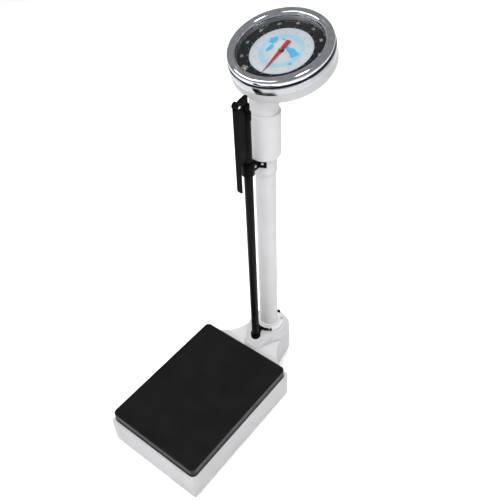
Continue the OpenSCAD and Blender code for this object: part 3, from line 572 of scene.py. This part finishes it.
# %% Ring of marks on the dial
def dial_marks(finish):
    tree, given = new_tree("dial_marks", {
        "Count": ("Int", 121), "Step": ("Float", 0.0), "Start": ("Float", 0.0),
        "Outer": ("Float", 0.06), "Length": ("Float", 0.003), "Width": ("Float", 0.0004),
        "Every": ("Int", 5), "Longer": ("Float", 1.6)})
    points = add_node(tree, "GeometryNodePoints", {"Count": given["Count"]}).outputs[0]
    index = add_node(tree, "GeometryNodeInputIndex").outputs[0]
    angle = maths(tree, "ADD", given["Start"], maths(tree, "MULTIPLY", index, given["Step"]))
    major = maths(tree, "COMPARE", maths(tree, "MODULO", index, given["Every"]), 0.0)
    extra = maths(tree, "SUBTRACT", given["Longer"], 1.0)
    stretch = maths(tree, "ADD", 1.0, maths(tree, "MULTIPLY", major, extra))
    middle = maths(tree, "SUBTRACT", given["Outer"],
                   maths(tree, "MULTIPLY", maths(tree, "MULTIPLY", given["Length"], stretch), 0.5))
    seat = join_xyz(tree, maths(tree, "MULTIPLY", maths(tree, "SINE", angle), middle),
                    maths(tree, "MULTIPLY", maths(tree, "COSINE", angle), middle))
    seated = add_node(tree, "GeometryNodeSetPosition", {"Geometry": points, "Position": seat}).outputs[0]
    block = add_node(tree, "GeometryNodeMeshCube",
                     {"Size": join_xyz(tree, given["Width"], given["Length"], given["Width"])}).outputs[0]
    quarter = maths(tree, "DIVIDE", 1.0, 4.0)
    flat = add_node(tree, "GeometryNodeInstanceOnPoints", {
        "Points": seated, "Instance": block,
        "Rotation": join_xyz(tree, z=maths(tree, "MULTIPLY", angle, -1.0)),
        "Scale": join_xyz(tree, maths(tree, "ADD", 1.0, maths(tree, "MULTIPLY", major, 0.35)), stretch,
                          quarter)}).outputs[0]
    end_tree(tree, flat, finish)
    return tree

# %% [markdown]
# The dial is a white plate printed in two blues and red, with a black band of white numbers
# round it. Zero is at the bottom and full scale almost meets it, 342 degrees on. Each print is
# a skin a few hundredths of a millimetre thick, so that it stays above what it is printed on.

# %% Dial printing
FULL_SCALE, SWEEP, ZERO = 120, 342, 180
PLATE_Z, BAND_Z = -3.0, -2.0
FACE_R = 69.5
PRINT = 0.06


def dial_angle(kilograms):
    return math.radians(ZERO + SWEEP * kilograms / FULL_SCALE)


def on_face(z):
    return HEAD @ Matrix.Translation((0, 0, z * MM))


def print_ring(name, inner, outer, z, finish):
    outline = [(inner, z), (outer, z), (outer, z + PRINT), (inner, z + PRINT)]
    return place_piece(turned(name, outline, HEAD, 0, 160), "stand", finish)


print_ring("dial_rim_line", FACE_R - 1.6, FACE_R - 0.1, PLATE_Z, ink_pale)
print_ring("dial_blue_band", 38, 50, PLATE_Z, ink_pale)
print_ring("dial_inner_line", 30.6, 31.4, PLATE_Z, ink_pale)
print_ring("dial_mid_line", 34.6, 35.2, PLATE_Z, ink_pale)

one_kilogram = math.radians(SWEEP / FULL_SCALE)
ticks = grow("kilogram_marks", dial_marks(ink_grey),
             {"Count": FULL_SCALE + 1, "Step": one_kilogram, "Start": math.radians(ZERO),
              "Outer": 0.0672, "Length": 0.0026, "Width": 0.00042, "Every": 5, "Longer": 1.7},
             on_face(PLATE_Z + PRINT))
place_piece(ticks, "stand", ink_grey)
bars = grow("band_marks", dial_marks(ink_white),
            {"Count": FULL_SCALE // 5 + 1, "Step": one_kilogram * 5, "Start": math.radians(ZERO),
             "Outer": 0.0738, "Length": 0.002, "Width": 0.0006, "Every": 2, "Longer": 1.5},
            on_face(BAND_Z + PRINT))
place_piece(bars, "stand", ink_white)

# %% [markdown]
# Figures come from Blender's own text, a little bolder than the font and as thin as a print.
# Each figure is turned to face outwards, as on the real dial.

# %% Numbers
def written(text, height):
    """Figures as a thin closed mesh in mm, centred, with their tops towards +y."""
    font = bpy.data.curves.new("figures", "FONT")
    font.body = text
    font.align_x, font.align_y = "CENTER", "CENTER"
    font.size = height / 0.72
    font.extrude = PRINT / 2
    font.resolution_u = 3
    font.offset = height * 0.012
    maker = bpy.data.objects.new("figures", font)
    bpy.context.scene.collection.objects.link(maker)
    graph = bpy.context.evaluated_depsgraph_get()
    mesh = bpy.data.meshes.new_from_object(maker.evaluated_get(graph), depsgraph=graph)
    bpy.data.objects.remove(maker)
    bpy.data.curves.remove(font)
    return mesh


def figures_piece(name, items, place):
    """Several figures as one piece: items are (text, height, function that puts a point in place)."""
    work = bmesh.new()
    for text, height, put in items:
        mesh = written(text, height)
        for vertex in mesh.vertices:
            vertex.co = put(vertex.co) * MM
        work.from_mesh(mesh)
        bpy.data.meshes.remove(mesh)
    bmesh.ops.remove_doubles(work, verts=work.verts, dist=1e-7)
    made = bpy.data.meshes.new(name)
    work.to_mesh(made)
    work.free()
    made.transform(place)
    return bpy.data.objects.new(name, made)


def at_angle(angle, radius):
    turn = Matrix.Rotation(-angle, 3, "Z")
    return lambda point: turn @ (point + Vector((0, radius, PRINT / 2)))


figures = [(str(v), 6.0, at_angle(dial_angle(v), 84.5)) for v in range(0, FULL_SCALE, 10)]
place_piece(figures_piece("dial_figures", figures, on_face(BAND_Z)), "stand", ink_white)
POUND = 0.45359
pounds = [(str(v), 3.0, at_angle(dial_angle(v * POUND), 57.5)) for v in range(20, 261, 20)]
place_piece(figures_piece("pound_figures", pounds, on_face(PLATE_Z)), "stand", ink_red)
pound_marks = grow("pound_marks", dial_marks(ink_red),
                   {"Count": 53, "Step": one_kilogram * POUND * 5, "Start": math.radians(ZERO),
                    "Outer": 0.0546, "Length": 0.0016, "Width": 0.0004, "Every": 4, "Longer": 1.6},
                   on_face(PLATE_Z + PRINT))
place_piece(pound_marks, "stand", ink_red)

# %% [markdown]
# The middle of the dial has a few loose patches of sky blue. They are plain blots here, each
# an uneven closed outline round its own centre, from a fixed seed, and one long angular patch.

# %% Blue patches
def blot(centre, width, height, points, rough, seed):
    dice = random.Random(seed)
    ring = []
    for k in range(points):
        a = 2 * math.pi * k / points
        r = 1 + rough * (dice.random() - 0.5)
        ring.append((centre[0] + width / 2 * r * math.cos(a), centre[1] + height / 2 * r * math.sin(a)))
    return ring


def print_patches(name, outlines, z, finish):
    verts, faces = [], []
    for ring in outlines:
        n, first = len(ring), len(verts)
        verts += [(x, y, z) for x, y in ring] + [(x, y, z + PRINT) for x, y in ring]
        faces += [tuple(first + i for i in reversed(range(n))), tuple(first + n + i for i in range(n))]
        faces += [(first + i, first + (i + 1) % n, first + n + (i + 1) % n, first + n + i)
                  for i in range(n)]
    return place_piece(mesh_piece(name, verts, faces, HEAD), "stand", finish)


patches = [blot((-34, 22), 19, 21, 15, 0.5, 3), blot((-15, 31), 9, 6, 9, 0.4, 8),
           blot((-28, -2), 12, 21, 13, 0.5, 5), blot((40, -26), 9, 8, 9, 0.4, 4),
           [(0, 17), (12, 14), (24, 15), (36, 8), (44, 5), (39, -3), (34, -11), (27, -8), (22, -1),
            (12, 3), (4, 10)]]
print_patches("dial_blue_patches", patches, PLATE_Z + 2 * PRINT, ink_sky)

# %% [markdown]
# The pointer is held on its shaft by a small turned brass cap over the black hub.

# %% Pointer cap
cap_z = 2.9
cap_outline = [(0.01, cap_z - 2.1), (2.7, cap_z - 2.1), (2.7, cap_z - 0.6), (1.9, cap_z), (0.01, cap_z)]
place_piece(turned("pointer_cap", cap_outline, HEAD, 0.3, 48), "pointer", tan_brass)

# %% [markdown]
# Between the number band and the lens stands a bright spacer ring, which shows as the pale
# wall inside the bezel. A thin lip of it closes the gap between the lens and the roll.

# %% Lens spacer
lens_r = size_of("dial_lens").x / 2
LENS_FOOT, LENS_TOP = 3.0, 5.0
spacer_foot, spacer_top = BAND_Z + 0.1, LENS_FOOT - 0.05
spacer_outline = [(lens_r - 3, spacer_foot), (lens_r + 3.4, spacer_foot), (lens_r + 3.4, spacer_top),
                  (lens_r - 2, spacer_top)]
place_piece(turned("lens_spacer", spacer_outline, HEAD, 0.3, 192), "stand", satin_metal,
            ["lens_gasket"])
lip_foot = LENS_TOP + 0.1
lip_outline = [(lens_r - 2.6, lip_foot), (lens_r + 2.4, lip_foot), (lens_r + 2.4, lip_foot + 1),
               (lens_r - 1.4, LENS_TOP + 2.2), (lens_r - 2.4, LENS_TOP + 2.2)]
place_piece(turned("lens_lip", lip_outline, HEAD, 0.2, 192), "stand", satin_metal)

# %% [markdown]
# Every fixing is a pan-head machine screw with a cross recess. One screw is modelled, with the
# recess cut by a Boolean, and Geometry Nodes copies it to each seat and turns it along the
# seat's own axis.

# %% One screw
def cross_screw(head_r, head_h):
    outline = [(0.01, -1.5), (head_r * 0.5, -1.5), (head_r * 0.5, 0), (head_r, 0), (head_r, head_h * 0.35)]
    outline += [(head_r * math.cos(a), head_h * (0.35 + 0.65 * math.sin(a)))
                for a in (math.radians(d) for d in (18, 36, 54, 72))] + [(0.01, head_h)]
    screw = turned("pan_head_screw", outline, Matrix.Identity(4), 0, 28)
    bpy.context.scene.collection.objects.link(screw)
    cutter = bmesh.new()
    for turn in (0, 90):
        slab = bmesh.ops.create_cube(cutter, size=1)["verts"]
        bmesh.ops.scale(cutter, verts=slab, vec=Vector((head_r * 1.15, head_r * 0.26, head_h * 1.3)) * MM)
        bmesh.ops.rotate(cutter, verts=slab, matrix=Matrix.Rotation(math.radians(turn), 3, "Z"))
        bmesh.ops.translate(cutter, verts=slab, vec=Vector((0, 0, head_h * 1.05)) * MM)
    cut_mesh = bpy.data.meshes.new("recess")
    cutter.to_mesh(cut_mesh)
    cutter.free()
    recess = bpy.data.objects.new("recess", cut_mesh)
    bpy.context.scene.collection.objects.link(recess)
    cut = screw.modifiers.new("recess", "BOOLEAN")
    cut.object, cut.operation, cut.solver, cut.use_self = recess, "DIFFERENCE", "EXACT", True
    graph = bpy.context.evaluated_depsgraph_get()
    made = bpy.data.meshes.new_from_object(screw.evaluated_get(graph), depsgraph=graph)
    screw.modifiers.remove(cut)
    bpy.data.objects.remove(recess)
    screw.data = made
    return screw


def screw_tree(finish):
    tree, given = new_tree("screws_on_seats", {"Screw": ("Object", None), "Seats": ("Object", None)})
    screw = add_node(tree, "GeometryNodeObjectInfo", {"Object": given["Screw"]}).outputs["Geometry"]
    seats = add_node(tree, "GeometryNodeObjectInfo", {"Object": given["Seats"]}).outputs["Geometry"]
    axis = add_node(tree, "GeometryNodeInputNamedAttribute", data_type="FLOAT_VECTOR",
                    Name="axis").outputs[0]
    turn = add_node(tree, "FunctionNodeAlignRotationToVector", {"Vector": axis}, axis="Z").outputs[0]
    placed = add_node(tree, "GeometryNodeInstanceOnPoints",
                      {"Points": seats, "Instance": screw, "Rotation": turn}).outputs[0]
    end_tree(tree, placed, finish)
    return tree


def fit_screws(name, seats, head_r, head_h, finish, replaces=(), body="stand"):
    """seats are (place in metres, outward axis)."""
    screw = cross_screw(head_r, head_h)
    mesh = bpy.data.meshes.new("seats")
    mesh.from_pydata([tuple(place) for place, axis in seats], [], [])
    axes = mesh.attributes.new("axis", "FLOAT_VECTOR", "POINT")
    for i, (place, axis) in enumerate(seats):
        axes.data[i].vector = Vector(axis).normalized()
    holder = bpy.data.objects.new("seats", mesh)
    bpy.context.scene.collection.objects.link(holder)
    made = grow(name, screw_tree(finish), {"Screw": screw, "Seats": holder})
    bpy.data.objects.remove(screw)
    bpy.data.objects.remove(holder)
    return place_piece(made, body, finish, replaces)

# %% Screws in their seats
column = middle_of("column_tube")
RING_R, STRAP_ANGLE, FRONT_ANGLE = 36.5, 24, 38


def round_column(angle, radius, z):
    a = math.radians(angle)
    return Vector((column.x + radius * MM * math.cos(a), column.y + radius * MM * math.sin(a), z))


upright = (0, 0, 1)
foot_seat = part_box("flange_screws")[1].z - 2.2 * MM
fit_screws("flange_fixings", [(round_column(a, RING_R, foot_seat), upright) for a in (45, 135)],
           3.3, 2.2, zinc, ["flange_screws"])
socket_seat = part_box("rod_socket")[1].z
socket_seats = [(round_column(side * FRONT_ANGLE - 90, RING_R, socket_seat), upright) for side in (-1, 1)]
fit_screws("socket_fixings", socket_seats, 3.1, 2.0, zinc, ["socket_screws"])
clamp_low, clamp_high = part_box("clamp_screws")
strap_z = (clamp_low.z + clamp_high.z) / 2
strap_seats = []
for side in (-1, 1):
    seat = round_column(side * STRAP_ANGLE - 90, collar_r + 3, strap_z)
    strap_seats.append((seat, (seat.x - column.x, seat.y - column.y, 0)))
pinch = Vector((0.006, middle_of("rod_tube").y + 0.0187, strap_z))
fit_screws("clamp_fixings", strap_seats + [(pinch, (1, 0, 0))], 3.5, 2.3, zinc,
           ["clamp_screws"])
low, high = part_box("bottom_screws")
HEAD_R = 3.4
sides = (low.x + HEAD_R * MM, high.x - HEAD_R * MM)
rows = (low.y + HEAD_R * MM, (low.y + high.y) / 2, high.y - HEAD_R * MM)
bottom_seats = [(Vector((x, y, high.z - 6 * MM)), (0, 0, -1)) for x in sides for y in rows]
fit_screws("bottom_fixings", bottom_seats, HEAD_R, 2.2, zinc, ["bottom_screws"])

# %% [markdown]
# The two main springs hang out of sight in the sleeve. Their CAD nodes are only envelopes, so
# real coils are swept here: a Spiral curve with a round section.

# %% Main springs
def coil_tree(finish):
    tree, given = new_tree("coil_spring", {"Turns": ("Float", 14.0), "Radius": ("Float", 0.006),
                                           "Height": ("Float", 0.04), "Wire": ("Float", 0.001)})
    coil = add_node(tree, "GeometryNodeCurveSpiral", {
        "Rotations": given["Turns"], "Start Radius": given["Radius"], "End Radius": given["Radius"],
        "Height": given["Height"]}, Resolution=28).outputs[0]
    section = add_node(tree, "GeometryNodeCurvePrimitiveCircle", {"Radius": given["Wire"]},
                       Resolution=10).outputs[0]
    swept = add_node(tree, "GeometryNodeCurveToMesh", {"Curve": coil, "Profile Curve": section})
    swept.inputs["Fill Caps"].default_value = True
    end_tree(tree, swept.outputs[0], finish)
    return tree


low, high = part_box("main_springs")
SPRING_R, WIRE_R = 6.9, 1.1
coils = bmesh.new()
for x in (low.x + (SPRING_R + 1.3) * MM, high.x - (SPRING_R + 1.3) * MM):
    coil = grow("coil", coil_tree(ground_steel),
                {"Turns": 14.0, "Radius": SPRING_R * MM, "Wire": WIRE_R * MM,
                 "Height": high.z - low.z - 2 * WIRE_R * MM},
                Matrix.Translation((x, (low.y + high.y) / 2, low.z + WIRE_R * MM)))
    coils.from_mesh(coil.data)
    bpy.data.objects.remove(coil)
coil_mesh = bpy.data.meshes.new("main_spring_coils")
coils.to_mesh(coil_mesh)
coils.free()
springs = bpy.data.objects.new("main_spring_coils", coil_mesh)
place_piece(springs, "stand", ground_steel, ["main_springs"])

# %% [markdown]
# The middle and inner tubes carry the height scale, a mark each centimetre and a number each
# ten. It shows when the rod is pulled up. Marks and figures are wrapped round the tube.

# %% Height scale
def wrap_on(radius, centre, height):
    """Puts a flat point on the front of an upright tube: x runs round it and z stands off it."""
    def put(point):
        a, r = point.x / radius, radius + 0.02 + point.z
        return Vector((centre.x / MM + r * math.sin(a), centre.y / MM - r * math.cos(a), height + point.y))
    return put


def rule_tree(finish):
    tree, given = new_tree("rule_marks", {
        "Count": ("Int", 50), "Step": ("Float", 0.01), "Radius": ("Float", 0.007),
        "Every": ("Int", 5), "Spread": ("Float", 30.0)})
    down = join_xyz(tree, z=maths(tree, "MULTIPLY", given["Step"], -1.0))
    rows = add_node(tree, "GeometryNodeMeshLine", {"Count": given["Count"], "Offset": down}).outputs[0]
    index = add_node(tree, "GeometryNodeInputIndex").outputs[0]
    major = maths(tree, "COMPARE", maths(tree, "MODULO", index, given["Every"]), 0.0)
    arc_angle = maths(tree, "RADIANS", given["Spread"])
    arc_line = add_node(tree, "GeometryNodeCurveArc", {"Radius": given["Radius"], "Sweep Angle": arc_angle},
                        Resolution=7, Start_Angle=math.radians(-90)).outputs[0]
    section = add_node(tree, "GeometryNodeCurvePrimitiveCircle", Resolution=6, Radius=0.00022).outputs[0]
    mark = add_node(tree, "GeometryNodeCurveToMesh", {"Curve": arc_line, "Profile Curve": section})
    mark.inputs["Fill Caps"].default_value = True
    short = add_node(tree, "GeometryNodeCurveArc", {
        "Radius": given["Radius"], "Sweep Angle": maths(tree, "MULTIPLY", arc_angle, 0.5)},
        Resolution=5, Start_Angle=math.radians(-90)).outputs[0]
    short_mark = add_node(tree, "GeometryNodeCurveToMesh", {"Curve": short, "Profile Curve": section})
    short_mark.inputs["Fill Caps"].default_value = True
    longs = add_node(tree, "GeometryNodeInstanceOnPoints",
                     {"Points": rows, "Instance": mark.outputs[0], "Selection": major}).outputs[0]
    shorts = add_node(tree, "GeometryNodeInstanceOnPoints", {
        "Points": rows, "Instance": short_mark.outputs[0],
        "Selection": maths(tree, "SUBTRACT", 1.0, major)}).outputs[0]
    both = tree.nodes.new("GeometryNodeJoinGeometry")
    tree.links.new(longs, both.inputs[0])
    tree.links.new(shorts, both.inputs[0])
    end_tree(tree, both.outputs[0], finish)
    return tree


def height_scale(body, radius, top_gap, top_cm, figure_h, aside):
    """Marks and figures from top_cm down, on the tube of that body; sizes in mm."""
    low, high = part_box(body)
    centre = (low + high) / 2
    top_z = high.z - top_gap * MM
    label = body.replace("_tube", "")
    marks = grow(label + "_scale_marks", rule_tree(ink_white),
                 {"Count": SCALE_CM, "Step": 0.01, "Radius": radius * MM, "Every": 5, "Spread": 55.0},
                 Matrix.Translation((centre.x, centre.y, top_z)))
    place_piece(marks, body, ink_white)
    items = []
    for k in range(1, SCALE_CM // 10 + 1):
        wrap = wrap_on(radius, centre, top_z / MM - k * 100)
        items.append((str(top_cm - k * 10), figure_h, lambda p, wrap=wrap: wrap(p - Vector((aside, 0, 0)))))
    figures = figures_piece(label + "_scale_figures", items, Matrix.Identity(4))
    place_piece(figures, body, ink_white)


SCALE_CM = 56
height_scale("middle_tube", middle_r, 6, 130, 4.2, 4.6)
height_scale("inner_tube", inner_r, 12, 190, 3.2, 3.4)

# %% [markdown]
# Cast, moulded and folded CAD pieces have knife-sharp edges. Welding their loose triangles and
# a narrow bevel gives each edge the small radius that catches the light.

# %% Soft edges on the CAD pieces
def soften_edges(node, width_mm, angle=35):
    piece = frame["nodes"][node]
    weld = piece.modifiers.new("weld", "WELD")
    weld.merge_threshold = 2e-6
    edge = piece.modifiers.new("edge", "BEVEL")
    edge.width, edge.segments = width_mm * MM, 2
    edge.limit_method, edge.angle_limit = "ANGLE", math.radians(angle)
    edge.harden_normals = False


for node, width in (("headpiece_arm", 0.5), ("rod_clamp", 0.6), ("rod_socket", 0.6), ("hinge_block", 0.5),
                    ("platform_tray", 0.4), ("column_flange", 0.4)):
    soften_edges(node, width)
    print(node, "edges rounded by", width, "mm")
